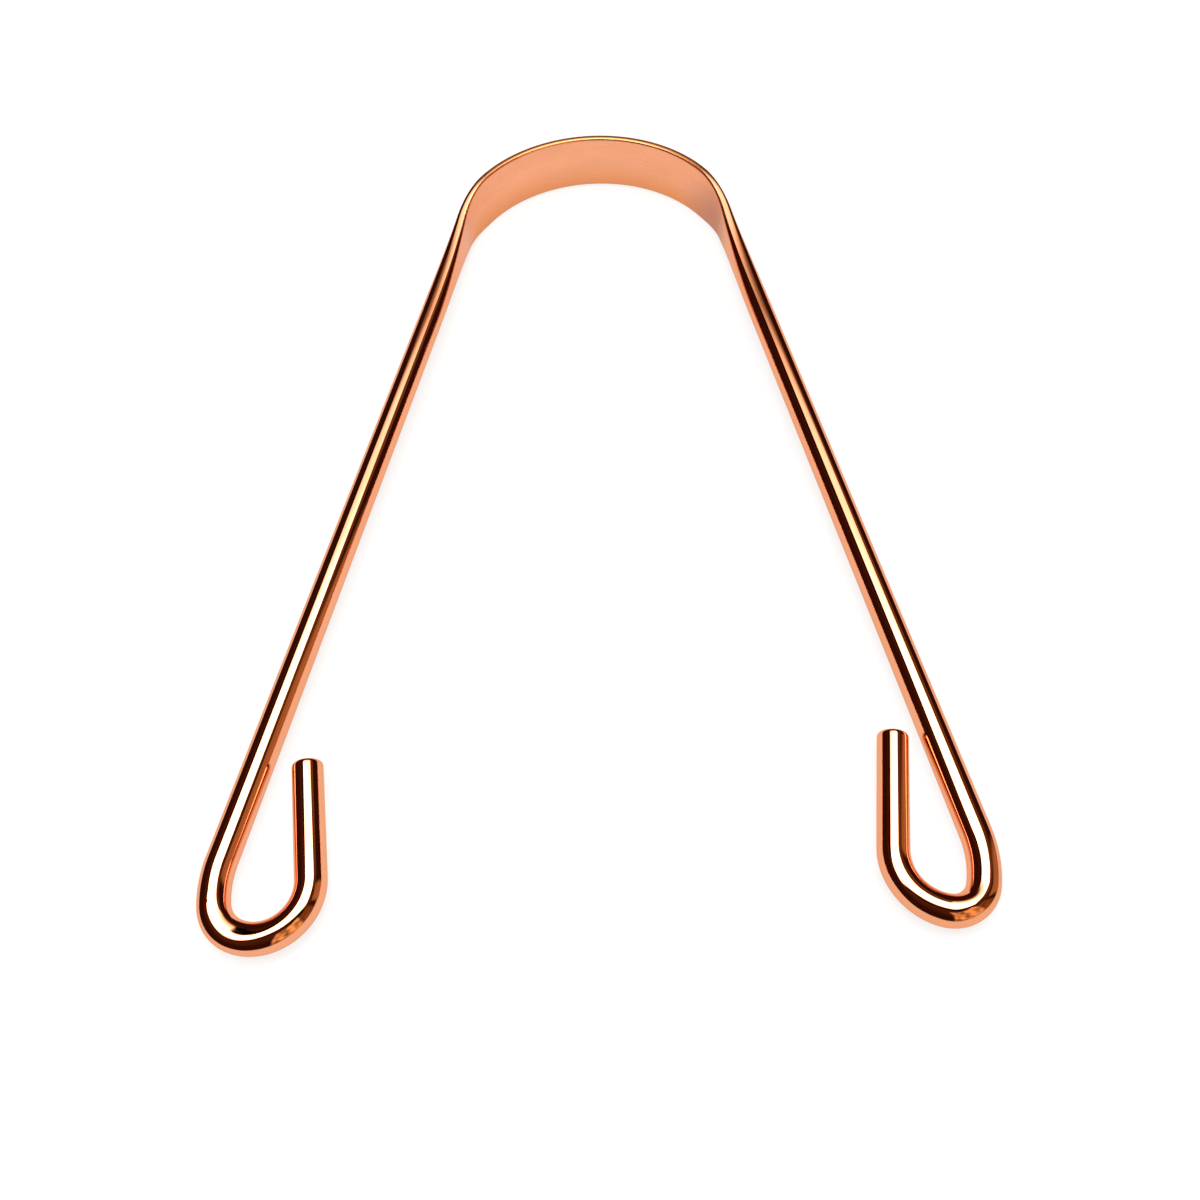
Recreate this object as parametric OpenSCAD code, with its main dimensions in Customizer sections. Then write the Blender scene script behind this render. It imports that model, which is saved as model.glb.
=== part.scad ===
// Tongue scraper bent from one length of copper rod. The middle of the rod is rolled flat into a
// band and bent round into the crown, whose lower edge scrapes. The two legs stay round, lean
// outwards, and turn back at their feet into open hooks for the thumbs.
// It lies flat: X across, Y from the hooks towards the crown, Z up.

/* [Rod] */
// Diameter of the rod
rod_d = 4; // [3:0.1:5]
// Rounding of the rod's two cut ends
tip_round = 0.9; // [0.3:0.1:1.4]

/* [Blade] */
// Thickness that the rod is rolled down to for the blade
blade_t = 1.32; // [1:0.02:2]
// Radius of the crown, at the middle of the metal
crown_r = 23.9; // [20:0.1:28]
// Angle that the flat blade covers each side of the crown's top
blade_half_angle = 55.3; // [45:0.1:65]

/* [Necks] */
// Length of each neck, where the flat blade turns back into round rod
neck_len = 33.4; // [20:0.1:45]

/* [Legs] */
// Angle that each leg leans out from the middle line
leg_splay = 11.2; // [6:0.1:16]
// Length of the straight round part of the left leg
left_leg_len = 93.8; // [60:0.1:120]
// Length of the straight round part of the right leg
right_leg_len = 92; // [60:0.1:120]

/* [Left hook] */
// Radius of the slow bend at the foot of the left leg
left_foot_r = 14; // [8:0.1:20]
// Angle of the slow bend
left_foot_angle = 22.6; // [15:0.1:35]
// Radius of the tight bend at the outer corner
left_heel_r = 5; // [3.5:0.1:8]
// Angle of the tight bend
left_heel_angle = 55; // [30:0.1:80]
// Radius of the bend that brings the rod back up
left_return_r = 6.1; // [4:0.1:8]
// Length of the left free end, its rounding included
left_end_len = 15.5; // [8:0.1:18]
// Angle that the left free end leans out towards the leg
left_end_lean = 9.6; // [0:0.1:12]

/* [Right hook] */
// Radius of the slow bend at the foot of the right leg
right_foot_r = 14; // [8:0.1:20]
// Angle of the slow bend
right_foot_angle = 26.6; // [15:0.1:35]
// Radius of the tight bend at the outer corner
right_heel_r = 4.1; // [3.5:0.1:8]
// Angle of the tight bend
right_heel_angle = 88.8; // [60:0.1:110]
// Radius of the bend that brings the rod back up
right_return_r = 6.7; // [4:0.1:8]
// Length of the right free end, its rounding included
right_end_len = 15.4; // [8:0.1:18]
// Angle that the right free end leans out towards the leg
right_end_lean = 8.4; // [0:0.1:12]

/* [Hidden] */
$fn = 96;

polished_copper = "#b5623c";
satin_copper = "#e39a73";

neck_rings = 28;
neck_sides = 24;

rod_r = rod_d / 2;
rod_area = PI * rod_r * rod_r;

// Rolling spreads the rod without losing metal, so its thickness settles its width. The section
// is a flat band with round edges, and it is a full circle where it is as thick as the rod.
function width_at(thickness) =
    (rod_area - PI * thickness * thickness / 4) / thickness + thickness;

blade_w = width_at(blade_t);

// The middle line of the rod is a plane curve. Its heading is the clockwise angle from +X at which
// it runs: 0 at the crown's top, 90 down a leg's outside, 180 across a hook's bottom, 270 up again.
// On every bend the middle line lies at centre + radius * outward(heading).
function outward(heading) = [sin(heading), cos(heading)];
function along(heading) = [cos(heading), -sin(heading)];

leg_heading = 90 - leg_splay;
crown_foot = crown_r * outward(leg_heading);
neck_bent_len = crown_r * (leg_heading - blade_half_angle) * PI / 180;
leg_top = crown_foot + (neck_len - neck_bent_len) * along(leg_heading);

// One side's hook as three bends, each [centre, radius, first heading, last heading]
function hook_bends(leg_len, foot_r, foot_angle, heel_r, heel_angle, return_r, end_lean) =
    let (
        foot_heading = leg_heading + foot_angle,
        heel_heading = foot_heading + heel_angle,
        foot_centre = leg_top + leg_len * along(leg_heading) - foot_r * outward(leg_heading),
        heel_centre = foot_centre + (foot_r - heel_r) * outward(foot_heading),
        return_centre = heel_centre + (heel_r - return_r) * outward(heel_heading)
    )
    [[foot_centre, foot_r, leg_heading, foot_heading],
     [heel_centre, heel_r, foot_heading, heel_heading],
     [return_centre, return_r, heel_heading, 270 + end_lean]];

left_bends = hook_bends(left_leg_len, left_foot_r, left_foot_angle, left_heel_r, left_heel_angle,
                        left_return_r, left_end_lean);
right_bends = hook_bends(right_leg_len, right_foot_r, right_foot_angle, right_heel_r, right_heel_angle,
                         right_return_r, right_end_lean);

// The point of a hook's middle line where it has a given heading
function hook_point(bends, heading) =
    [for (b = bends) if (heading >= b[2] && heading <= b[3]) b[0] + b[1] * outward(heading)][0];

left_reach = hook_point(left_bends, 90)[0] + rod_r;
right_reach = hook_point(right_bends, 90)[0] + rod_r;
top_y = crown_r + blade_t / 2;
bottom_y = min(hook_point(left_bends, 180)[1], hook_point(right_bends, 180)[1]) - rod_r;

// The origin is below the middle of the whole outline, at the blade's lower edge
module seated() {
    translate([(left_reach - right_reach) / 2, -(top_y + bottom_y) / 2, blade_w / 2])
        children();
}

module bend(b) {
    translate(b[0])
        rotate([0, 0, 90 - b[3]])
            rotate_extrude(angle = b[3] - b[2])
                translate([b[1], 0])
                    circle(r = rod_r);
}

// The rod's section, measured outwards and up, as points that miss the ends of its flats
function section(thickness) =
    let (flat = width_at(thickness) - thickness)
    [for (k = [0 : neck_sides - 1])
        let (a = (k + 1 / 2) * 360 / neck_sides)
        [thickness / 2 * cos(a), thickness / 2 * sin(a) + sign(sin(a)) * flat / 2]];

function ease(share) = share * share * (3 - 2 * share);

// One ring of the neck, at a share of its length from the blade
function neck_ring(share) =
    let (
        run = share * neck_len,
        heading = min(blade_half_angle + run / crown_r * 180 / PI, leg_heading),
        middle = crown_r * outward(heading) + max(run - neck_bent_len, 0) * along(heading)
    )
    [for (p = section(blade_t + (rod_d - blade_t) * ease(share)))
        [middle[0] + p[0] * outward(heading)[0], middle[1] + p[0] * outward(heading)[1], p[1]]];

module neck() {
    points = [for (i = [0 : neck_rings]) each neck_ring(i / neck_rings)];
    sides = [for (i = [0 : neck_rings - 1], k = [0 : neck_sides - 1])
        let (
            here = i * neck_sides + k,
            beside = i * neck_sides + (k + 1) % neck_sides
        )
        each [[here, beside, here + neck_sides], [beside, beside + neck_sides, here + neck_sides]]];
    blade_face = [for (k = [neck_sides - 1 : -1 : 0]) k];
    leg_face = [for (k = [0 : neck_sides - 1]) neck_rings * neck_sides + k];
    polyhedron(points = points, faces = concat(sides, [blade_face, leg_face]));
}

module leg(leg_len) {
    translate(leg_top)
        rotate([0, 90, -leg_heading])
            cylinder(h = leg_len, r = rod_r);
}

module free_end(bends, end_len) {
    heading = bends[2][3];
    translate(hook_point(bends, heading))
        rotate([0, 90, -heading])
            rotate_extrude() {
                square([rod_r, end_len - tip_round]);
                square([rod_r - tip_round, end_len]);
                intersection() {
                    translate([rod_r - tip_round, end_len - tip_round])
                        circle(r = tip_round);
                    square([rod_r, end_len]);
                }
            }
}

module blade() {
    color(satin_copper)
        seated()
            rotate([0, 0, 90 - blade_half_angle])
                rotate_extrude(angle = 2 * blade_half_angle)
                    translate([crown_r, 0]) {
                        square([blade_t, blade_w - blade_t], center = true);
                        for (edge = [-1, 1])
                            translate([0, edge * (blade_w - blade_t) / 2])
                                circle(d = blade_t);
                    }
}

module left_neck() {
    color(polished_copper)
        seated()
            mirror([1, 0, 0])
                neck();
}

module right_neck() {
    color(polished_copper)
        seated()
            neck();
}

module left_leg() {
    color(polished_copper)
        seated()
            mirror([1, 0, 0])
                leg(left_leg_len);
}

module right_leg() {
    color(polished_copper)
        seated()
            leg(right_leg_len);
}

module left_foot_bend() {
    color(polished_copper)
        seated()
            mirror([1, 0, 0])
                bend(left_bends[0]);
}

module left_heel_bend() {
    color(polished_copper)
        seated()
            mirror([1, 0, 0])
                bend(left_bends[1]);
}

module left_return_bend() {
    color(polished_copper)
        seated()
            mirror([1, 0, 0])
                bend(left_bends[2]);
}

module right_foot_bend() {
    color(polished_copper)
        seated()
            bend(right_bends[0]);
}

module right_heel_bend() {
    color(polished_copper)
        seated()
            bend(right_bends[1]);
}

module right_return_bend() {
    color(polished_copper)
        seated()
            bend(right_bends[2]);
}

module left_free_end() {
    color(polished_copper)
        seated()
            mirror([1, 0, 0])
                free_end(left_bends, left_end_len);
}

module right_free_end() {
    color(polished_copper)
        seated()
            free_end(right_bends, right_end_len);
}

blade();
left_neck();
right_neck();
left_leg();
right_leg();
left_foot_bend();
left_heel_bend();
left_return_bend();
left_free_end();
right_foot_bend();
right_heel_bend();
right_return_bend();
right_free_end();
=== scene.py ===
import math

import bpy
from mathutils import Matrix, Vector


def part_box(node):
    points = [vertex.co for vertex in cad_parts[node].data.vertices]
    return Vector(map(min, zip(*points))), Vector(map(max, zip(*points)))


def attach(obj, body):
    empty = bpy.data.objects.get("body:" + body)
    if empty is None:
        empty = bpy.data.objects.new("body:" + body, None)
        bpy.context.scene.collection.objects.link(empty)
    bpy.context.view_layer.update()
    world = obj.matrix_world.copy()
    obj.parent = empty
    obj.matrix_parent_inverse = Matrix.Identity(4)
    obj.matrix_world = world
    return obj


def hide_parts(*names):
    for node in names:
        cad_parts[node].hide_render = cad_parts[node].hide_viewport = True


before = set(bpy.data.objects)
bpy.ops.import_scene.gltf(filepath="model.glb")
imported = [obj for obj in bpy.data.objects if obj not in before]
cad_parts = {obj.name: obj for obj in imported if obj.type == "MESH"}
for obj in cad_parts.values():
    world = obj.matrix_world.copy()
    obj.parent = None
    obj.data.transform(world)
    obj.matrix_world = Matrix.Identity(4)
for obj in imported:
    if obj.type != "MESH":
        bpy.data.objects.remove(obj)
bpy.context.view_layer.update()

# The camera looks down on the scraper from beyond its hooks, 13 cm above the table, with a lens wide
# enough for the legs to draw together towards the crown.
mm = 0.001
camera_place = Vector((4.678, -102.796, 129.427)) * mm
camera_turn = (31.823, 2.082, -0.401)
lens_mm = 31.416
sensor_mm = 36
camera = bpy.data.cameras.new("camera")
camera.lens = lens_mm
camera.sensor_width = sensor_mm
camera.clip_start = 10 * mm
camera_object = bpy.data.objects.new("camera", camera)
camera_object.location = camera_place
camera_object.rotation_euler = [math.radians(angle) for angle in camera_turn]
bpy.context.scene.collection.objects.link(camera_object)
bpy.context.scene.camera = camera_object

# The blade is the middle of one length of 4 mm copper rod, rolled down to a flat band with slightly
# squared edges and bent round a former into the crown. Its lower edge scrapes the tongue. Its inner
# face keeps the satin of the rolls, and its edges and its outer face are buffed.
rod_d = 4 * mm
blade_t = 1.32 * mm
crown_r = 23.9 * mm
blade_half_angle = math.radians(55.3)
blade_len = 2 * blade_half_angle * crown_r
neck_len = 33.4 * mm
blade_low, blade_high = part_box("blade")
blade_half_w = (blade_high.z - blade_low.z) / 2
crown_middle = Vector((
    (blade_low.x + blade_high.x) / 2,
    blade_high.y - crown_r - blade_t / 2,
    (blade_low.z + blade_high.z) / 2,
))
circle_squareness = 2.0
edge_squareness = 3.0
sides_round = 144
ring_step = 0.3 * mm
flat_cut_steps = 1
dent_length = 4 * mm
press_lean = 3
weld_distance = 0.0005 * mm


def add_node(tree, kind, inputs=(), **settings):
    """Adds a node with its settings, then gives its inputs values or links, in order or by name."""
    node = tree.nodes.new(kind)
    for name, value in settings.items():
        setattr(node, name, value)
    for key, value in inputs.items() if isinstance(inputs, dict) else enumerate(inputs):
        if isinstance(value, bpy.types.Node):
            value = value.outputs[0]
        if isinstance(value, bpy.types.NodeSocket):
            tree.links.new(value, node.inputs[key])
        else:
            node.inputs[key].default_value = value
    return node


def forming_tree():
    """One stretch of the rod: a bend and then a straight run, rolled from one thickness to another.

    Headings are clockwise from +X, seen from above: 0 at the crown's top, 90 down a leg's outside. The
    mesh is a grid, whose rows become rings along the rod and whose first and last rows are the ends.
    """
    tree = bpy.data.node_groups.new("forming the rod", "GeometryNodeTree")
    sockets = {
        "NodeSocketVector": ["Crown Middle", "Bend Centre"],
        "NodeSocketFloat": [
            "Side", "Bend Radius", "First Heading", "Last Heading", "Straight Length", "Rod Diameter",
            "First Thickness", "Last Thickness", "First Squareness", "Last Squareness",
            "Run From Crown", "Tip Height", "Tip Squareness", "Dent Depth",
            "Press Run", "Press Length", "Press Share",
        ],
        "NodeSocketInt": ["Steps", "Tip Steps", "Sides"],
        "NodeSocketMaterial": ["Finish"],
    }
    for kind, names in sockets.items():
        for name in names:
            tree.interface.new_socket(name, in_out="INPUT", socket_type=kind)
    tree.interface.new_socket("Rod", in_out="OUTPUT", socket_type="NodeSocketGeometry")
    given = add_node(tree, "NodeGroupInput").outputs

    # Rows of the grid are one apart: row 0 closes the start, row 1 is the first ring, and the rows
    # past the last ring close the tip
    rings_and_tip = add_node(
        tree, "ShaderNodeMath", [given["Steps"], given["Tip Steps"]], operation="ADD")
    last_row = add_node(tree, "ShaderNodeMath", [rings_and_tip, 1], operation="ADD")
    grid = add_node(tree, "GeometryNodeMeshGrid", {
        "Size X": last_row,
        "Size Y": 1,
        "Vertices X": add_node(tree, "ShaderNodeMath", [last_row, 1], operation="ADD"),
        "Vertices Y": add_node(tree, "ShaderNodeMath", [given["Sides"], 1], operation="ADD"),
    })
    grid_place = add_node(tree, "GeometryNodeInputPosition")
    on_grid = add_node(tree, "ShaderNodeSeparateXYZ", [grid_place]).outputs
    row = add_node(tree, "ShaderNodeMath", [last_row, 0.5, on_grid["X"]], operation="MULTIPLY_ADD")
    ring = add_node(tree, "ShaderNodeMath", [row, 1], operation="SUBTRACT")
    share = add_node(tree, "ShaderNodeMath", [ring, given["Steps"]], operation="DIVIDE", use_clamp=True)

    # The tip is a superellipse turned round the rod, and a plain cut is one of no height
    past_rings = add_node(tree, "ShaderNodeMath", [ring, given["Steps"]], operation="SUBTRACT")
    tip_share = add_node(
        tree, "ShaderNodeMath", [past_rings, given["Tip Steps"]], operation="DIVIDE", use_clamp=True)
    tip_angle = add_node(tree, "ShaderNodeMath", [tip_share, math.pi / 2], operation="MULTIPLY")
    tip_power = add_node(tree, "ShaderNodeMath", [2, given["Tip Squareness"]], operation="DIVIDE")
    tip_wide = add_node(tree, "ShaderNodeMath", [
        add_node(tree, "ShaderNodeMath", [tip_angle], operation="COSINE", use_clamp=True), tip_power,
    ], operation="POWER")
    tip_far = add_node(tree, "ShaderNodeMath", [
        add_node(tree, "ShaderNodeMath", [tip_angle], operation="SINE"), tip_power,
    ], operation="POWER")
    is_ring = add_node(tree, "ShaderNodeMath", [row, 0.5], operation="GREATER_THAN")
    full_spread = add_node(tree, "ShaderNodeMath", [is_ring, tip_wide], operation="MULTIPLY")

    # Along the middle line: round the bend first, then straight on
    turned = add_node(
        tree, "ShaderNodeMath", [given["Last Heading"], given["First Heading"]], operation="SUBTRACT")
    bent_len = add_node(tree, "ShaderNodeMath", [given["Bend Radius"], turned], operation="MULTIPLY")
    length = add_node(tree, "ShaderNodeMath", [bent_len, given["Straight Length"]], operation="ADD")
    body_run = add_node(tree, "ShaderNodeMath", [share, length], operation="MULTIPLY")
    run = add_node(
        tree, "ShaderNodeMath", [tip_far, given["Tip Height"], body_run], operation="MULTIPLY_ADD")
    bend_angle = add_node(tree, "ShaderNodeMath", [run, given["Bend Radius"]], operation="DIVIDE")
    heading = add_node(tree, "ShaderNodeMath", [
        add_node(tree, "ShaderNodeMath", [given["First Heading"], bend_angle], operation="ADD"),
        given["Last Heading"],
    ], operation="MINIMUM")
    straight_run = add_node(tree, "ShaderNodeMath", [
        add_node(tree, "ShaderNodeMath", [run, bent_len], operation="SUBTRACT"), 0,
    ], operation="MAXIMUM")
    sine = add_node(tree, "ShaderNodeMath", [heading], operation="SINE")
    cosine = add_node(tree, "ShaderNodeMath", [heading], operation="COSINE")
    minus_sine = add_node(tree, "ShaderNodeMath", [sine, -1], operation="MULTIPLY")
    outward = add_node(tree, "ShaderNodeCombineXYZ", [sine, cosine, 0])
    along = add_node(tree, "ShaderNodeCombineXYZ", [cosine, minus_sine, 0])

    # The section: rolling keeps the rod's area, so its thickness settles how wide its two flats are.
    # A point goes up the outer flat, over the round edge and down the inner flat, or the same below.
    thickness = add_node(tree, "ShaderNodeMapRange", {
        "Value": share, "To Min": given["First Thickness"], "To Max": given["Last Thickness"],
    }, interpolation_type="SMOOTHSTEP")
    edge_r = add_node(tree, "ShaderNodeMath", [thickness, 2], operation="DIVIDE")
    rod_squared = add_node(tree, "ShaderNodeMath", [given["Rod Diameter"], 2], operation="POWER")
    area_left = add_node(tree, "ShaderNodeMath", [
        add_node(tree, "ShaderNodeMath", [rod_squared, thickness], operation="DIVIDE"), thickness,
    ], operation="SUBTRACT")
    half_flat = add_node(tree, "ShaderNodeMath", [area_left, math.pi / 8], operation="MULTIPLY")
    edge_len = add_node(tree, "ShaderNodeMath", [edge_r, math.pi], operation="MULTIPLY")
    half_round = add_node(tree, "ShaderNodeMath", [half_flat, 2, edge_len], operation="MULTIPLY_ADD")
    back_round = add_node(tree, "ShaderNodeMath", [on_grid["Y"], -1], operation="MULTIPLY")
    way_round = add_node(tree, "ShaderNodeMath", [back_round, given["Side"]], operation="MULTIPLY")
    reach = add_node(tree, "ShaderNodeMath", [
        add_node(tree, "ShaderNodeMath", [way_round], operation="ABSOLUTE"),
        add_node(tree, "ShaderNodeMath", [half_round, 2], operation="MULTIPLY"),
    ], operation="MULTIPLY")
    past_flat = add_node(tree, "ShaderNodeMath", [reach, half_flat], operation="SUBTRACT")
    edge_angle = add_node(tree, "ShaderNodeClamp", {
        "Value": add_node(tree, "ShaderNodeMath", [past_flat, edge_r], operation="DIVIDE"),
        "Min": 0, "Max": math.pi,
    })
    past_edge = add_node(tree, "ShaderNodeMath", [
        add_node(tree, "ShaderNodeMath", [past_flat, edge_len], operation="SUBTRACT"), 0,
    ], operation="MAXIMUM")
    climb = add_node(tree, "ShaderNodeMath", [
        add_node(tree, "ShaderNodeMath", [reach, half_flat], operation="MINIMUM"), past_edge,
    ], operation="SUBTRACT")
    # The edge is half a superellipse, which is half a circle where its squareness is 2
    squareness = add_node(tree, "ShaderNodeMapRange", {
        "Value": share, "To Min": given["First Squareness"], "To Max": given["Last Squareness"],
    }, interpolation_type="SMOOTHSTEP")
    edge_power = add_node(tree, "ShaderNodeMath", [2, squareness], operation="DIVIDE")
    normal_power = add_node(tree, "ShaderNodeMath", [2, edge_power], operation="SUBTRACT")
    parts = {"place": {}, "normal": {}}
    for way, operation in (("out", "COSINE"), ("up", "SINE")):
        part = add_node(tree, "ShaderNodeMath", [edge_angle], operation=operation)
        size = add_node(tree, "ShaderNodeMath", [part], operation="ABSOLUTE")
        for use, power in (("place", edge_power), ("normal", normal_power)):
            parts[use][way] = add_node(tree, "ShaderNodeMath", [
                add_node(tree, "ShaderNodeMath", [size, power], operation="POWER"),
                add_node(tree, "ShaderNodeMath", [part], operation="SIGN"),
            ], operation="MULTIPLY")
    upper_or_lower = add_node(tree, "ShaderNodeMath", [way_round], operation="SIGN")
    for use in parts:
        parts[use]["up"] = add_node(
            tree, "ShaderNodeMath", [parts[use]["up"], upper_or_lower], operation="MULTIPLY")
    face_out = parts["place"]["out"]
    face_up = parts["place"]["up"]
    flat_up = add_node(tree, "ShaderNodeMath", [climb, upper_or_lower], operation="MULTIPLY")

    # The bending tool leaves shallow dents a few millimetres long, deepest in the middle of a bend
    whole_run = add_node(tree, "ShaderNodeMath", [
        add_node(tree, "ShaderNodeMath", [given["Run From Crown"], run], operation="ADD"),
        given["Side"],
    ], operation="MULTIPLY")
    on_dents = add_node(tree, "ShaderNodeCombineXYZ", [
        add_node(tree, "ShaderNodeMath", [whole_run, dent_length], operation="DIVIDE"), face_out, face_up,
    ])
    dents = add_node(tree, "ShaderNodeTexNoise", {"Vector": on_dents, "Scale": 1.0, "Detail": 0.5})
    half_turn = add_node(tree, "ShaderNodeMath", [share, math.pi], operation="MULTIPLY")
    in_bend = add_node(tree, "ShaderNodeMath", [
        add_node(tree, "ShaderNodeMath", [half_turn], operation="SINE"), 2,
    ], operation="POWER")
    deepest = add_node(tree, "ShaderNodeMath", [given["Dent Depth"], edge_r], operation="DIVIDE")
    dent = add_node(tree, "ShaderNodeMath", [
        add_node(tree, "ShaderNodeMath", [dents, in_bend], operation="MULTIPLY"), deepest,
    ], operation="MULTIPLY")
    undented = add_node(tree, "ShaderNodeMath", [1, dent], operation="SUBTRACT")
    spread = add_node(tree, "ShaderNodeMath", [full_spread, undented], operation="MULTIPLY")

    # The tool's jaw presses the rod's top a little flatter, or pinches it more arched, along a short
    # stretch, and its normals lean in or out with it
    off_press = add_node(tree, "ShaderNodeMath", [
        add_node(tree, "ShaderNodeMath", [given["Run From Crown"], run], operation="ADD"),
        given["Press Run"],
    ], operation="SUBTRACT")
    pressed = add_node(tree, "ShaderNodeMapRange", {
        "Value": add_node(tree, "ShaderNodeMath", [off_press], operation="ABSOLUTE"),
        "From Min": given["Press Length"], "From Max": 0, "To Max": given["Press Share"],
    }, interpolation_type="SMOOTHSTEP")
    top_squared = add_node(tree, "ShaderNodeMath", [
        add_node(tree, "ShaderNodeMath", [face_up, 0], operation="MAXIMUM"), 2,
    ], operation="POWER")
    lowered = add_node(tree, "ShaderNodeMath", [pressed, top_squared], operation="MULTIPLY")
    press_scale = add_node(tree, "ShaderNodeMath", [1, lowered], operation="SUBTRACT")
    out = add_node(tree, "ShaderNodeMath", [
        add_node(tree, "ShaderNodeMath", [face_out, edge_r], operation="MULTIPLY"), spread,
    ], operation="MULTIPLY")
    round_up = add_node(tree, "ShaderNodeMath", [face_up, press_scale], operation="MULTIPLY")
    up = add_node(tree, "ShaderNodeMath", [
        add_node(tree, "ShaderNodeMath", [round_up, edge_r, flat_up], operation="MULTIPLY_ADD"), spread,
    ], operation="MULTIPLY")

    # The place of each point, and where it was on the straight rod, which the finishes' patterns follow
    bend_reach = add_node(tree, "ShaderNodeMath", [given["Bend Radius"], out], operation="ADD")
    from_centre = add_node(
        tree, "ShaderNodeVectorMath", {"Vector": outward, "Scale": bend_reach}, operation="SCALE")
    from_bend = add_node(
        tree, "ShaderNodeVectorMath", {"Vector": along, "Scale": straight_run}, operation="SCALE")
    flat_place = add_node(tree, "ShaderNodeVectorMath", [
        add_node(tree, "ShaderNodeVectorMath", [given["Bend Centre"], from_centre], operation="ADD"),
        from_bend,
    ], operation="ADD")
    mirror = add_node(tree, "ShaderNodeCombineXYZ", [given["Side"], 1, 1])
    side_place = add_node(tree, "ShaderNodeVectorMath", [flat_place, mirror], operation="MULTIPLY")
    place = add_node(tree, "ShaderNodeVectorMath", [
        add_node(tree, "ShaderNodeVectorMath", [side_place, given["Crown Middle"]], operation="ADD"),
        add_node(tree, "ShaderNodeCombineXYZ", [0, 0, up]),
    ], operation="ADD")
    on_straight_rod = add_node(tree, "ShaderNodeCombineXYZ", [whole_run, out, up])
    normal_out = add_node(tree, "ShaderNodeMath", [
        add_node(tree, "ShaderNodeMath", [lowered, -press_lean, 1], operation="MULTIPLY_ADD"),
        parts["normal"]["out"],
    ], operation="MULTIPLY")
    flat_normal = add_node(
        tree, "ShaderNodeVectorMath", {"Vector": outward, "Scale": normal_out}, operation="SCALE")
    round_normal = add_node(tree, "ShaderNodeVectorMath", [
        add_node(tree, "ShaderNodeVectorMath", [
            add_node(tree, "ShaderNodeVectorMath", [flat_normal, mirror], operation="MULTIPLY"),
            add_node(tree, "ShaderNodeCombineXYZ", [0, 0, parts["normal"]["up"]]),
        ], operation="ADD"),
    ], operation="NORMALIZE")

    # The rows are kept from before the points move
    kept = add_node(tree, "GeometryNodeCaptureAttribute", domain="POINT")
    kept.capture_items.new("FLOAT", "Row")
    kept.capture_items.new("VECTOR", "Round Normal")
    for key, value in {"Geometry": grid, "Row": row, "Round Normal": round_normal}.items():
        tree.links.new(value.outputs[0], kept.inputs[key])
    marked = add_node(tree, "GeometryNodeStoreNamedAttribute", {
        "Geometry": kept, "Name": "straight", "Value": on_straight_rod,
    }, data_type="FLOAT_VECTOR", domain="POINT")
    formed = add_node(tree, "GeometryNodeSetPosition", {"Geometry": marked, "Position": place})
    closed = add_node(tree, "GeometryNodeMergeByDistance", {"Geometry": formed, "Distance": weld_distance})
    smooth = add_node(tree, "GeometryNodeSetShadeSmooth", {"Geometry": closed, "Shade Smooth": True})

    # A ring where two stretches meet has the true round normal, so no line shows there in the
    # reflections. The faces that close a plain cut stay flat.
    end_rings = []
    for at_row in (1, add_node(tree, "ShaderNodeMath", [given["Steps"], 1], operation="ADD")):
        end_rings.append(add_node(
            tree, "FunctionNodeCompare", {"A": kept.outputs["Row"], "B": at_row, "Epsilon": 0.1},
            data_type="FLOAT", operation="EQUAL"))
    at_end = add_node(tree, "FunctionNodeBooleanMath", end_rings, operation="OR")
    face_row = add_node(
        tree, "GeometryNodeFieldOnDomain", [kept.outputs["Row"]], data_type="FLOAT", domain="FACE")
    start_face = add_node(
        tree, "FunctionNodeCompare", {"A": face_row, "B": 1}, data_type="FLOAT", operation="LESS_THAN")
    past_last = add_node(
        tree, "FunctionNodeCompare", {
            "A": face_row, "B": add_node(tree, "ShaderNodeMath", [given["Steps"], 1], operation="ADD"),
        }, data_type="FLOAT", operation="GREATER_THAN")
    plain_cut = add_node(
        tree, "FunctionNodeCompare", {"A": given["Tip Height"], "B": 0.0, "Epsilon": weld_distance},
        data_type="FLOAT", operation="EQUAL")
    last_face = add_node(tree, "FunctionNodeBooleanMath", [past_last, plain_cut], operation="AND")
    is_cut = add_node(tree, "FunctionNodeBooleanMath", [start_face, last_face], operation="OR")
    own = add_node(tree, "GeometryNodeInputNormal")
    side_normal = add_node(tree, "GeometryNodeSwitch", {
        "Switch": at_end, "False": own, "True": kept.outputs["Round Normal"],
    }, input_type="VECTOR")
    shown_normal = add_node(tree, "GeometryNodeSwitch", {
        "Switch": is_cut, "False": side_normal, "True": own.outputs["True Normal"],
    }, input_type="VECTOR")
    sharp = add_node(tree, "GeometryNodeSetShadeSmooth", {
        "Geometry": smooth, "Selection": at_end, "Shade Smooth": False,
    }, domain="EDGE")
    shaded = add_node(tree, "GeometryNodeSetMeshNormal", {"Mesh": sharp}, mode="FREE", domain="CORNER")
    tree.links.new(shown_normal.outputs[0], shaded.inputs["Custom Normal"])
    real = add_node(tree, "GeometryNodeRealizeInstances", [shaded])
    finished = add_node(
        tree, "GeometryNodeSetMaterial", {"Geometry": real, "Material": given["Finish"]})
    add_node(tree, "NodeGroupOutput", [finished])
    return tree


forming = forming_tree()


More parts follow.
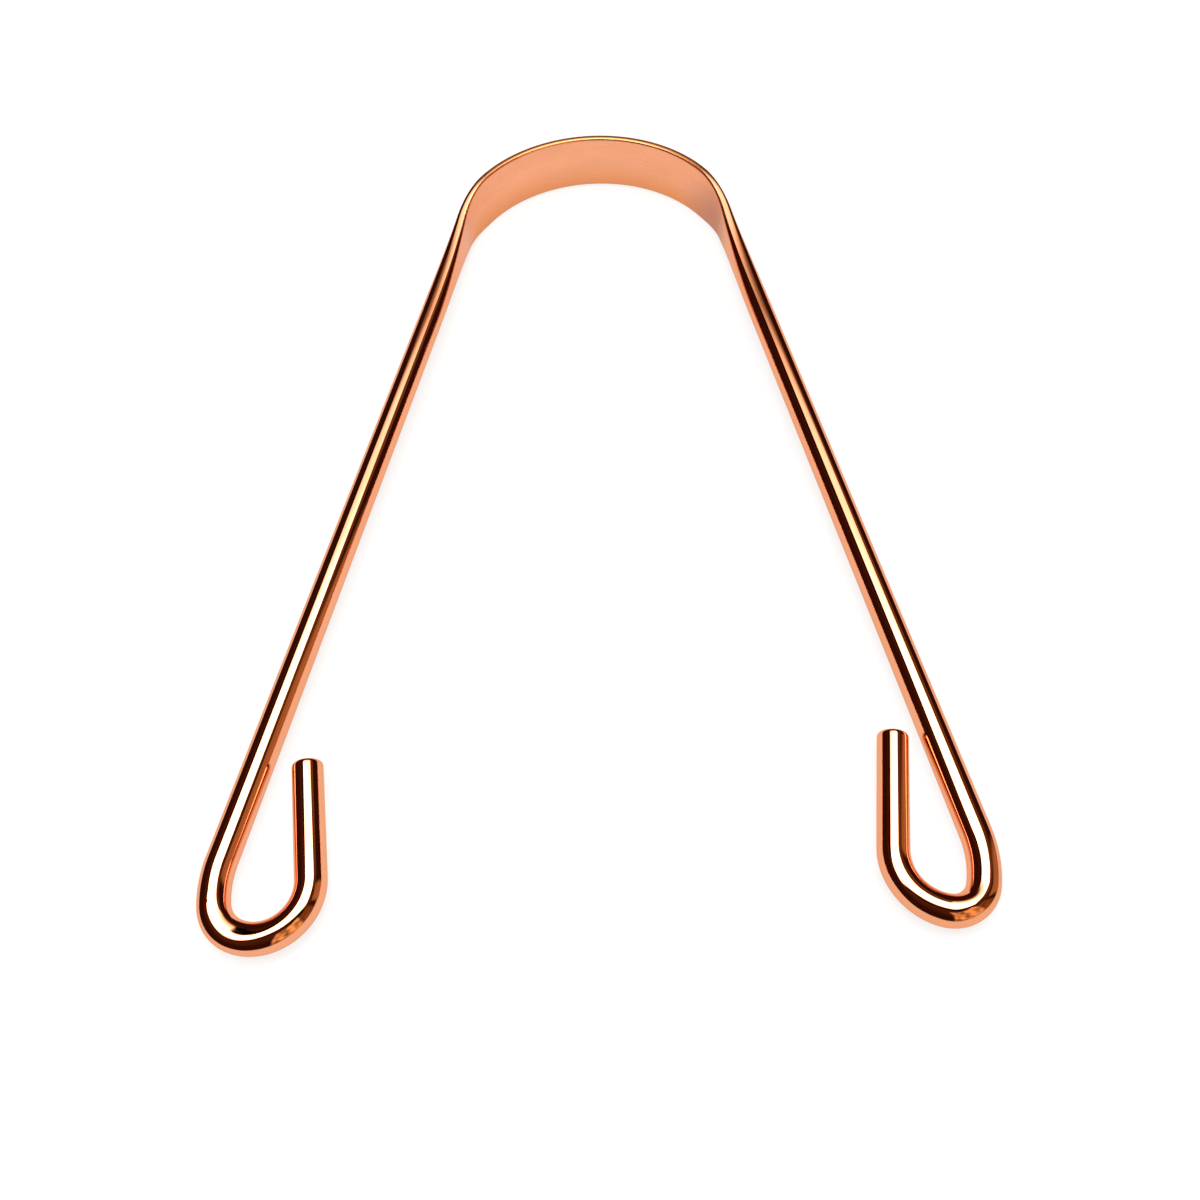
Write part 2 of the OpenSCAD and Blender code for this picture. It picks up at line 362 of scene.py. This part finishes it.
def form_stretch(name, node, slot, length, **sizes):
    """Forms a stretch of the rod as a plain mesh that rides on the scraper and replaces its CAD node."""
    piece = bpy.data.objects.new(name, bpy.data.meshes.new(name))
    bpy.context.scene.collection.objects.link(piece)
    bending = piece.modifiers.new("forming", "NODES")
    bending.node_group = forming
    sizes = {
        "Crown Middle": crown_middle, "Bend Centre": Vector(), "Side": 1.0, "Bend Radius": 0.0,
        "Straight Length": 0.0, "Rod Diameter": rod_d, "First Thickness": rod_d, "Last Thickness": rod_d,
        "First Squareness": circle_squareness, "Last Squareness": circle_squareness,
        "Tip Height": 0.0, "Tip Squareness": circle_squareness,
        "Dent Depth": 0.0, "Press Run": 0.0, "Press Length": ring_step, "Press Share": 0.0,
        "Tip Steps": flat_cut_steps, "Sides": sides_round, "Steps": math.ceil(length / ring_step),
    } | {words.replace("_", " ").title(): value for words, value in sizes.items()}
    for socket in forming.interface.items_tree:
        if socket.in_out == "INPUT":
            bending[socket.identifier] = sizes[socket.name]
    formed = bpy.data.meshes.new_from_object(
        piece.evaluated_get(bpy.context.evaluated_depsgraph_get()))
    piece.modifiers.clear()
    piece.data = formed
    formed.name = name
    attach(piece, "root")
    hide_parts(node)


def colour(hex_code):
    """An sRGB colour such as #c08040 as linear red, green, blue and alpha."""
    parts = [int(hex_code[i:i + 2], 16) / 255 for i in (1, 3, 5)]
    return [c / 12.92 if c <= 0.04045 else ((c + 0.055) / 1.055) ** 2.4 for c in parts] + [1]


def stretched_noise(tree, place, along_mm, across_mm, detail):
    """Noise in the straight rod's own place, with grains of that length along it and across it."""
    scale = [1 / (along_mm * mm), 1 / (across_mm * mm), 1 / (across_mm * mm)]
    scaled = add_node(tree, "ShaderNodeVectorMath", [place, scale], operation="MULTIPLY")
    return add_node(tree, "ShaderNodeTexNoise", {"Vector": scaled, "Scale": 1, "Detail": detail})


def buffed_copper(name):
    """Pure copper rod, drawn, formed cold and then buffed on a soft wheel to a mirror.

    The buff leaves hairlines along the rod, finer than a render can show, so they are drawn about
    0.12 mm apart, and a faint waviness some millimetres long, which the bright bands follow.
    """
    material = bpy.data.materials.new(name)
    material.use_nodes = True
    tree = material.node_tree
    shader = tree.nodes["Principled BSDF"]
    place = add_node(tree, "ShaderNodeAttribute", attribute_name="straight").outputs["Vector"]
    clouds = stretched_noise(tree, place, 14, 5, 2)
    hairlines = stretched_noise(tree, place, 9, 0.12, 2)
    waves = stretched_noise(tree, place, 8, 3.5, 1)
    tint = add_node(tree, "ShaderNodeMix", {
        "Factor": clouds, "A": colour("#efa882"), "B": colour("#e79b73"),
    }, data_type="RGBA")
    gloss = add_node(tree, "ShaderNodeMapRange", {
        "Value": hairlines, "From Min": 0.35, "From Max": 0.75, "To Min": 0.04, "To Max": 0.09,
    })
    wavy = add_node(tree, "ShaderNodeBump", {"Height": waves, "Strength": 1, "Distance": 0.006 * mm})
    lined = add_node(tree, "ShaderNodeBump", {
        "Height": hairlines, "Strength": 1, "Distance": 0.0002 * mm, "Normal": wavy,
    })
    shader.inputs["Metallic"].default_value = 1
    shader.inputs["Specular Tint"].default_value = colour("#f4dccb")
    tree.links.new(tint.outputs["Result"], shader.inputs["Base Color"])
    tree.links.new(gloss.outputs[0], shader.inputs["Roughness"])
    tree.links.new(lined.outputs[0], shader.inputs["Normal"])
    return material


# Two patches on the necks' inner faces: a darker mauve one on the right neck, and on the left one a pale
# pink painted highlight for the light that face reflects. Each has its middle on the straight rod, how far
# it reaches, and its colour.
neck_patches = [
    (Vector((32, -1.3, -3)) * mm, Vector((13, 4, 8)) * mm, "#c08672"),
    (Vector((-41, -1.5, -1)) * mm, Vector((11, 4, 5)) * mm, "#ebb5a8"),
]
edge_roughness = 0.32


def satin_copper():
    """The same copper as the rolls leave it on the blade's inner face.

    The rolls print a soft satin with lines along the band, drawn 0.1 mm apart because real ones are
    too fine to show. It fades into the buffed finish over each neck. The face is painted a little deeper
    and more orange towards its lower edge, a painted shade for the shadowed table it reflects there.
    The band's edges and its outer face are buffed, but less than the rod, and the edges are painted a
    deeper orange, a painted darkening of their reflections.
    """
    material = buffed_copper("satin_rolled_copper")
    tree = material.node_tree
    shader = tree.nodes["Principled BSDF"]
    buffed = {
        key: shader.inputs[key].links[0].from_socket for key in ("Base Color", "Roughness", "Normal")
    }
    place = add_node(tree, "ShaderNodeAttribute", attribute_name="straight").outputs["Vector"]
    run, out, up = add_node(tree, "ShaderNodeSeparateXYZ", [place]).outputs
    inner_face = add_node(tree, "ShaderNodeMapRange", {
        "Value": out, "From Min": -0.35 * mm, "From Max": -0.6 * mm,
    }, interpolation_type="SMOOTHSTEP")
    from_middle = add_node(tree, "ShaderNodeMath", [run], operation="ABSOLUTE")
    along_band = add_node(tree, "ShaderNodeMapRange", {
        "Value": from_middle,
        "From Min": blade_len / 2 + neck_len * 0.6, "From Max": blade_len / 2 + neck_len * 0.2,
    }, interpolation_type="SMOOTHSTEP")
    satin_share = add_node(tree, "ShaderNodeMath", [inner_face, along_band], operation="MULTIPLY")

    # The gloss of the edges and the outer face, and the deeper orange painted on the edges as a painted
    # darkening of their reflections
    on_blade = add_node(tree, "ShaderNodeMapRange", {
        "Value": from_middle,
        "From Min": blade_len / 2 + neck_len / 6, "From Max": blade_len / 2 - neck_len / 12,
    }, interpolation_type="SMOOTHSTEP")
    buffed["Roughness"] = add_node(tree, "ShaderNodeMix", {
        "Factor": on_blade, "A": buffed["Roughness"], "B": edge_roughness,
    }, data_type="FLOAT").outputs["Result"]
    edge_painted_dimming = add_node(tree, "ShaderNodeMapRange", {
        "Value": add_node(tree, "ShaderNodeMath", [up], operation="ABSOLUTE"),
        "From Min": blade_half_w - 0.6 * blade_t, "From Max": blade_half_w - 0.35 * blade_t,
        "To Max": on_blade,
    }, interpolation_type="SMOOTHSTEP")
    # Painted shade: the edges take a deeper orange that dims their reflections
    buffed["Base Color"] = add_node(tree, "ShaderNodeMix", {
        "Factor": edge_painted_dimming, "A": buffed["Base Color"], "B": colour("#cb824e"),
    }, data_type="RGBA").outputs["Result"]

    mottle = stretched_noise(tree, place, 9, 3, 3)
    roll_lines = stretched_noise(tree, place, 5, 0.1, 2)
    # Painted shade: the face turns deeper and more orange towards its lower edge, where it reflects the
    # table in the band's own shadow
    lower_edge = add_node(tree, "ShaderNodeMapRange", {
        "Value": up, "From Min": 1 * mm, "From Max": -blade_half_w,
    }, interpolation_type="SMOOTHSTEP")
    painted_low_shade = add_node(tree, "ShaderNodeMix", {
        "Factor": lower_edge, "A": colour("#f0a67f"), "B": colour("#e59563"),
    }, data_type="RGBA")
    face_colour = add_node(tree, "ShaderNodeMix", {
        "Factor": add_node(tree, "ShaderNodeMapRange", {
            "Value": mottle, "From Min": 0.4, "From Max": 0.7, "To Max": 0.35,
        }),
        "A": painted_low_shade.outputs["Result"], "B": colour("#dd9672"),
    }, data_type="RGBA").outputs["Result"]
    # The pale left patch is a painted highlight; the right one is only a darker mauve colour
    for mark_place, mark_size, mark_colour in neck_patches:
        off_mark = add_node(tree, "ShaderNodeVectorMath", [
            add_node(tree, "ShaderNodeVectorMath", [place, mark_place], operation="SUBTRACT"), mark_size,
        ], operation="DIVIDE")
        distance = add_node(tree, "ShaderNodeVectorMath", [off_mark], operation="LENGTH")
        marked = add_node(tree, "ShaderNodeMapRange", {
            "Value": distance.outputs["Value"], "From Min": 1.2, "From Max": 0.3,
        }, interpolation_type="SMOOTHSTEP")
        face_colour = add_node(tree, "ShaderNodeMix", {
            "Factor": marked, "A": face_colour, "B": colour(mark_colour),
        }, data_type="RGBA").outputs["Result"]
    soft = add_node(tree, "ShaderNodeMapRange", {
        "Value": roll_lines, "From Min": 0.3, "From Max": 0.7, "To Min": 0.26, "To Max": 0.36,
    })
    printed = add_node(tree, "ShaderNodeBump", {
        "Height": roll_lines, "Strength": 1, "Distance": 0.0012 * mm,
    })
    rolled = {
        "Base Color": ("RGBA", face_colour), "Roughness": ("FLOAT", soft), "Normal": ("VECTOR", printed),
    }
    for key, (kind, value) in rolled.items():
        mix = add_node(tree, "ShaderNodeMix", {
            "Factor": satin_share, "A": buffed[key], "B": value,
        }, data_type=kind)
        tree.links.new(mix.outputs["Result"], shader.inputs[key])
    return material


satin = satin_copper()
form_stretch(
    "blade_band", "blade", "satin_copper", blade_len,
    bend_radius=crown_r, first_heading=-blade_half_angle, last_heading=blade_half_angle,
    first_thickness=blade_t, last_thickness=blade_t, first_squareness=edge_squareness,
    last_squareness=edge_squareness, run_from_crown=-blade_len / 2, finish=satin)

# Each neck is the rod between the rolled blade and the round leg. It leaves the last of the crown's
# bend and runs out straight, while the section thickens and draws in until it is round.
leg_splay = math.radians(11.2)
leg_heading = math.pi / 2 - leg_splay
neck_bent_len = crown_r * (leg_heading - blade_half_angle)
side_signs = {"left": -1.0, "right": 1.0}
for side, sign in side_signs.items():
    form_stretch(
        side + "_neck_taper", side + "_neck", "polished_copper", neck_len,
        side=sign, bend_radius=crown_r, first_heading=blade_half_angle, last_heading=leg_heading,
        straight_length=neck_len - neck_bent_len, first_thickness=blade_t,
        first_squareness=edge_squareness, run_from_crown=blade_len / 2, finish=satin)

# The legs are the rod as it was drawn, straight and round, and buffed. They spring apart from the
# crown, and the right one is a little shorter because the hooks are bent by hand.
polished = buffed_copper("mirror_buffed_copper")
leg_lens = {"left": 93.8 * mm, "right": 92 * mm}


def outward(heading):
    """The way out of a bend, square to the middle line, at a heading."""
    return Vector((math.sin(heading), math.cos(heading), 0))


def along(heading):
    """The way along the middle line at a heading."""
    return Vector((math.cos(heading), -math.sin(heading), 0))


leg_top = crown_r * outward(leg_heading) + (neck_len - neck_bent_len) * along(leg_heading)
leg_start_run = blade_len / 2 + neck_len
for side, sign in side_signs.items():
    form_stretch(
        side + "_leg_rod", side + "_leg", "polished_copper", leg_lens[side],
        side=sign, bend_centre=leg_top, first_heading=leg_heading, last_heading=leg_heading,
        straight_length=leg_lens[side], run_from_crown=leg_start_run, finish=polished)

# Each foot is bent back into an open hook for the thumb in three bends: a slow one out of the leg, a
# tight one at the outer corner, and one that brings the rod up again. The bending tool pressed the
# left hook's top a little flat where its heel ends and pinched the right heel's. Angles are in degrees.
hooks = {
    "left": {
        "foot_r": 14 * mm, "foot_angle": 22.6, "heel_r": 5 * mm, "heel_angle": 55,
        "return_r": 6.1 * mm, "end_lean": 9.6,
        "foot_dent": 0.01 * mm, "heel_dent": 0.02 * mm, "return_dent": 0.02 * mm,
        "press_run": 160.6 * mm, "press_length": 6 * mm, "press_share": 0.12,
    },
    "right": {
        "foot_r": 14 * mm, "foot_angle": 26.6, "heel_r": 4.1 * mm, "heel_angle": 88.8,
        "return_r": 6.7 * mm, "end_lean": 8.4,
        "foot_dent": 0.02 * mm, "heel_dent": 0.16 * mm, "return_dent": 0.06 * mm,
        "press_run": 158.2 * mm, "press_length": 3.1 * mm, "press_share": -0.12,
    },
}
hook_ends = {}
for side, hook in hooks.items():
    last_headings = {
        "foot": leg_heading + math.radians(hook["foot_angle"]),
        "heel": leg_heading + math.radians(hook["foot_angle"] + hook["heel_angle"]),
        "return": math.radians(270 + hook["end_lean"]),
    }
    heading = leg_heading
    point = leg_top + leg_lens[side] * along(leg_heading)
    run = leg_start_run + leg_lens[side]
    for bend, last_heading in last_headings.items():
        radius = hook[bend + "_r"]
        centre = point - radius * outward(heading)
        bend_len = radius * (last_heading - heading)
        form_stretch(
            side + "_" + bend + "_bend_rod", side + "_" + bend + "_bend", "polished_copper",
            bend_len, side=side_signs[side], bend_centre=centre, bend_radius=radius,
            first_heading=heading, last_heading=last_heading, run_from_crown=run,
            dent_depth=hook[bend + "_dent"], press_run=hook["press_run"],
            press_length=hook["press_length"], press_share=hook["press_share"], finish=polished)
        point = centre + radius * outward(last_heading)
        heading = last_heading
        run += bend_len
    hook_ends[side] = (point, heading, run)

# The rod's two ends stand free inside the hooks. They were cut off square, and the edge was ground
# round and buffed, which leaves a faint dome.
end_lens = {"left": 15.5 * mm, "right": 15.4 * mm}
tip_height = 0.9 * mm
tip_squareness = 3.0
tip_rings = 24
for side, (point, heading, run) in hook_ends.items():
    form_stretch(
        side + "_free_end_rod", side + "_free_end", "polished_copper", end_lens[side],
        side=side_signs[side], bend_centre=point, first_heading=heading, last_heading=heading,
        straight_length=end_lens[side] - tip_height, run_from_crown=run, tip_height=tip_height,
        tip_squareness=tip_squareness, tip_steps=tip_rings, finish=polished)

# The table is a sheet of white acrylic, lit from below. At rest the scraper stands on it with the
# blade's lower edge and with the undersides of its two hooks, which are higher, so the sheet slopes
# up to them.
hook_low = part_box("left_return_bend")[0]
hook_y = hook_low.y + rod_d / 2
table_slope = (hook_low.z - blade_low.z) / (blade_low.y - hook_y)
table_half = 2.0


def table_height(y):
    """The height of the table at a distance along the scraper."""
    return blade_low.z + table_slope * (blade_low.y - y)


table_mesh = bpy.data.meshes.new("table")
table_mesh.from_pydata(
    [(x, y, table_height(y)) for x, y in (
        (-table_half, -table_half), (table_half, -table_half),
        (table_half, table_half), (-table_half, table_half))],
    [], [(0, 1, 2, 3)])
table = bpy.data.objects.new("table", table_mesh)
bpy.context.scene.collection.objects.link(table)

# The sheet glows for the camera and in the metal, and is also lit from above, so it is white and keeps
# a faint shadow. Together the two come to white.
opal_glow = 0.83
opal = bpy.data.materials.new("lit_opal_acrylic")
opal.use_nodes = True
opal_tree = opal.node_tree
opal_shader = opal_tree.nodes["Principled BSDF"]
rays = add_node(opal_tree, "ShaderNodeLightPath").outputs
seen = rays["Is Camera Ray"]
for ray in ("Is Glossy Ray", "Is Transmission Ray"):
    seen = add_node(opal_tree, "ShaderNodeMath", [seen, rays[ray]], operation="MAXIMUM")
glow = add_node(opal_tree, "ShaderNodeMath", [seen, opal_glow], operation="MULTIPLY")
opal_shader.inputs["Base Color"].default_value = colour("#767676")
opal_shader.inputs["Roughness"].default_value = 1
opal_shader.inputs["Specular IOR Level"].default_value = 0
opal_shader.inputs["Emission Color"].default_value = colour("#ffffff")
opal_tree.links.new(glow.outputs[0], opal_shader.inputs["Emission Strength"])
table_mesh.materials.append(opal)

# A long softbox hangs over the table, with its lamp over the legs. Its cloth is brightest there, warmer
# and dimmer towards the far end, and wider to the left at the near end. It is turned a little, so it
# dims sooner on the left. Its reflection is the white band down every part of the rod.
cloth_low = Vector((-0.48, -0.28, 0.7))
cloth_high = Vector((0.385, 0.82, 0.7))
cloth_left = -0.315
cloth_near_left = -0.47
widening_from = 0.25
widening_to = 0.0
cloth_rim = 0.07
cloth_slant = 0.1
lamp_strength = 6.5
cloth_mesh = bpy.data.meshes.new("softbox")
cloth_mesh.from_pydata([
    (cloth_low.x, cloth_low.y, cloth_low.z), (cloth_low.x, cloth_high.y, cloth_low.z),
    (cloth_high.x, cloth_high.y, cloth_low.z), (cloth_high.x, cloth_low.y, cloth_low.z),
], [], [(0, 1, 2, 3)])
softbox = bpy.data.objects.new("softbox", cloth_mesh)
bpy.context.scene.collection.objects.link(softbox)
cloth = bpy.data.materials.new("lit_diffusing_cloth")
cloth.use_nodes = True
cloth_tree = cloth.node_tree
cloth_tree.nodes.clear()
on_cloth = add_node(cloth_tree, "ShaderNodeTexCoord").outputs["Object"]
across, along_cloth, above = add_node(cloth_tree, "ShaderNodeSeparateXYZ", [on_cloth]).outputs
left_edge = add_node(cloth_tree, "ShaderNodeMapRange", {
    "Value": along_cloth, "From Min": widening_from, "From Max": widening_to,
    "To Min": cloth_left, "To Max": cloth_near_left,
}, interpolation_type="SMOOTHSTEP")
from_left = add_node(cloth_tree, "ShaderNodeMapRange", {
    "Value": add_node(cloth_tree, "ShaderNodeMath", [across, left_edge], operation="SUBTRACT"),
    "From Max": cloth_rim,
}, interpolation_type="SMOOTHSTEP")
from_right = add_node(cloth_tree, "ShaderNodeMapRange", {
    "Value": across, "From Min": cloth_high.x, "From Max": cloth_high.x - cloth_rim,
}, interpolation_type="SMOOTHSTEP")
from_side = add_node(cloth_tree, "ShaderNodeMath", [from_left, from_right], operation="MULTIPLY")
turned_along = add_node(
    cloth_tree, "ShaderNodeMath", [across, -cloth_slant, along_cloth], operation="MULTIPLY_ADD")
from_near_end = add_node(cloth_tree, "ShaderNodeMapRange", {
    "Value": turned_along, "From Min": cloth_low.y, "From Max": cloth_high.y,
})
# How bright the cloth is at places along it, in metres, as a share of its brightest
brightness_shares = {
    -0.18: 0, -0.12: 1, 0.27: 1, 0.34: 0.62, 0.41: 0.38,
    0.49: 0.35, 0.56: 0.3, 0.64: 0.17, 0.7: 0.09, 0.72: 0.05,
}
brightness = add_node(cloth_tree, "ShaderNodeValToRGB", [from_near_end])
ramp = brightness.color_ramp
while len(ramp.elements) < len(brightness_shares):
    ramp.elements.new(1)
for stop, (place_along, share) in zip(ramp.elements, brightness_shares.items()):
    stop.position = (place_along - cloth_low.y) / (cloth_high.y - cloth_low.y)
    stop.color = (share, share, share, 1)
lit_share = add_node(cloth_tree, "ShaderNodeMath", [brightness, from_side], operation="MULTIPLY")
# The cloth is its full white from a third of its brightest
whiteness = add_node(
    cloth_tree, "ShaderNodeMath", [lit_share, 3], operation="MULTIPLY", use_clamp=True)
cloth_colour = add_node(cloth_tree, "ShaderNodeMix", {
    "Factor": whiteness, "A": colour("#ffe2bc"), "B": colour("#fffaf4"),
}, data_type="RGBA")
lit = add_node(cloth_tree, "ShaderNodeEmission", {
    "Color": cloth_colour.outputs["Result"],
    "Strength": add_node(cloth_tree, "ShaderNodeMath", [lit_share, lamp_strength], operation="MULTIPLY"),
})
add_node(cloth_tree, "ShaderNodeOutputMaterial", [lit])
cloth_mesh.materials.append(cloth)

# The room is dark and warm, with wooden walls, a doorway, a curtain with light on it and a low shelf,
# and the rod shows them between the softbox and the table. Each is a soft-edged box on the sky, in
# degrees: azimuth from +X towards +Y, and elevation. A later one covers those before it.
room = bpy.data.worlds.new("room")
room.use_nodes = True
room_tree = room.node_tree
room_tree.nodes.clear()
direction = add_node(room_tree, "ShaderNodeTexCoord").outputs["Generated"]
x_part, y_part, z_part = add_node(room_tree, "ShaderNodeSeparateXYZ", [direction]).outputs
azimuth = add_node(room_tree, "ShaderNodeMath", [
    add_node(room_tree, "ShaderNodeMath", [y_part, x_part], operation="ARCTAN2"),
], operation="DEGREES")
elevation = add_node(room_tree, "ShaderNodeMath", [
    add_node(room_tree, "ShaderNodeMath", [z_part], operation="ARCSINE"),
], operation="DEGREES")
stretches = {
    "upper walls": {
        "azimuth": (-200, 200), "elevation": (42, 100), "softness": 26, "glow": "#502c1b",
        "grain": (30, 12), "depth_share": 0.2},
    "far wall": {
        "azimuth": (34, 112), "elevation": (36, 60), "softness": 9, "glow": "#8a6642",
        "grain": (20, 8), "depth_share": 0.2},
    "side wall": {
        "azimuth": (18, 60), "elevation": (40, 75), "softness": 10, "glow": "#6b452a",
        "grain": (20, 8), "depth_share": 0.2},
    "wooden wall": {
        "azimuth": (-4, 20), "elevation": (-40, 40), "softness": 7, "glow": "#b5885c",
        "grain": (60, 2.5), "depth_share": 0.5},
    "doorway": {
        "azimuth": (-32, -13), "elevation": (-40, 50), "softness": 7, "glow": "#8a5a30",
        "grain": (12, 10), "depth_share": 0.35},
    "lit curtain": {
        "azimuth": (-80, -34), "elevation": (-40, 60), "softness": 6, "glow": "#e9bd86",
        "grain": (9, 20), "depth_share": 0.6},
    "low shelf": {
        "azimuth": (-110, 4), "elevation": (-40, 4), "softness": 8, "glow": "#b9966c",
        "grain": (9, 4), "depth_share": 0.3},
}
light = colour("#34180f")
for number, stretch in enumerate(stretches.values()):
    insides = []
    for angle, way in ((azimuth, "azimuth"), (elevation, "elevation")):
        first, last = stretch[way]
        off_middle = add_node(room_tree, "ShaderNodeMath", [
            add_node(room_tree, "ShaderNodeMath", [angle, (first + last) / 2], operation="SUBTRACT"),
        ], operation="ABSOLUTE")
        insides.append(add_node(room_tree, "ShaderNodeMapRange", {
            "Value": off_middle, "From Min": (last - first + stretch["softness"]) / 2,
            "From Max": (last - first - stretch["softness"]) / 2,
        }, interpolation_type="SMOOTHSTEP"))
    inside = add_node(room_tree, "ShaderNodeMath", insides, operation="MULTIPLY")
    on_grain = add_node(room_tree, "ShaderNodeCombineXYZ", [
        add_node(room_tree, "ShaderNodeMath", [angle, size], operation="DIVIDE")
        for angle, size in zip((azimuth, elevation), stretch["grain"])
    ] + [number])
    patches = add_node(
        room_tree, "ShaderNodeTexNoise", {"Vector": on_grain, "Scale": 1.0, "Detail": 0.0})
    shade = add_node(room_tree, "ShaderNodeMapRange", {
        "Value": patches, "From Min": 0.3, "From Max": 0.7,
        "To Min": 1 - stretch["depth_share"], "To Max": 1 + stretch["depth_share"],
    })
    shaded_glow = add_node(room_tree, "ShaderNodeVectorMath", {
        "Vector": colour(stretch["glow"])[:3], "Scale": shade,
    }, operation="SCALE")
    light = add_node(room_tree, "ShaderNodeMix", {
        "Factor": inside, "A": light, "B": shaded_glow,
    }, data_type="RGBA").outputs["Result"]
background = add_node(room_tree, "ShaderNodeBackground", [light, 1])
add_node(room_tree, "ShaderNodeOutputWorld", [background])
bpy.context.scene.world = room

bpy.context.scene.view_settings.view_transform = "Standard"
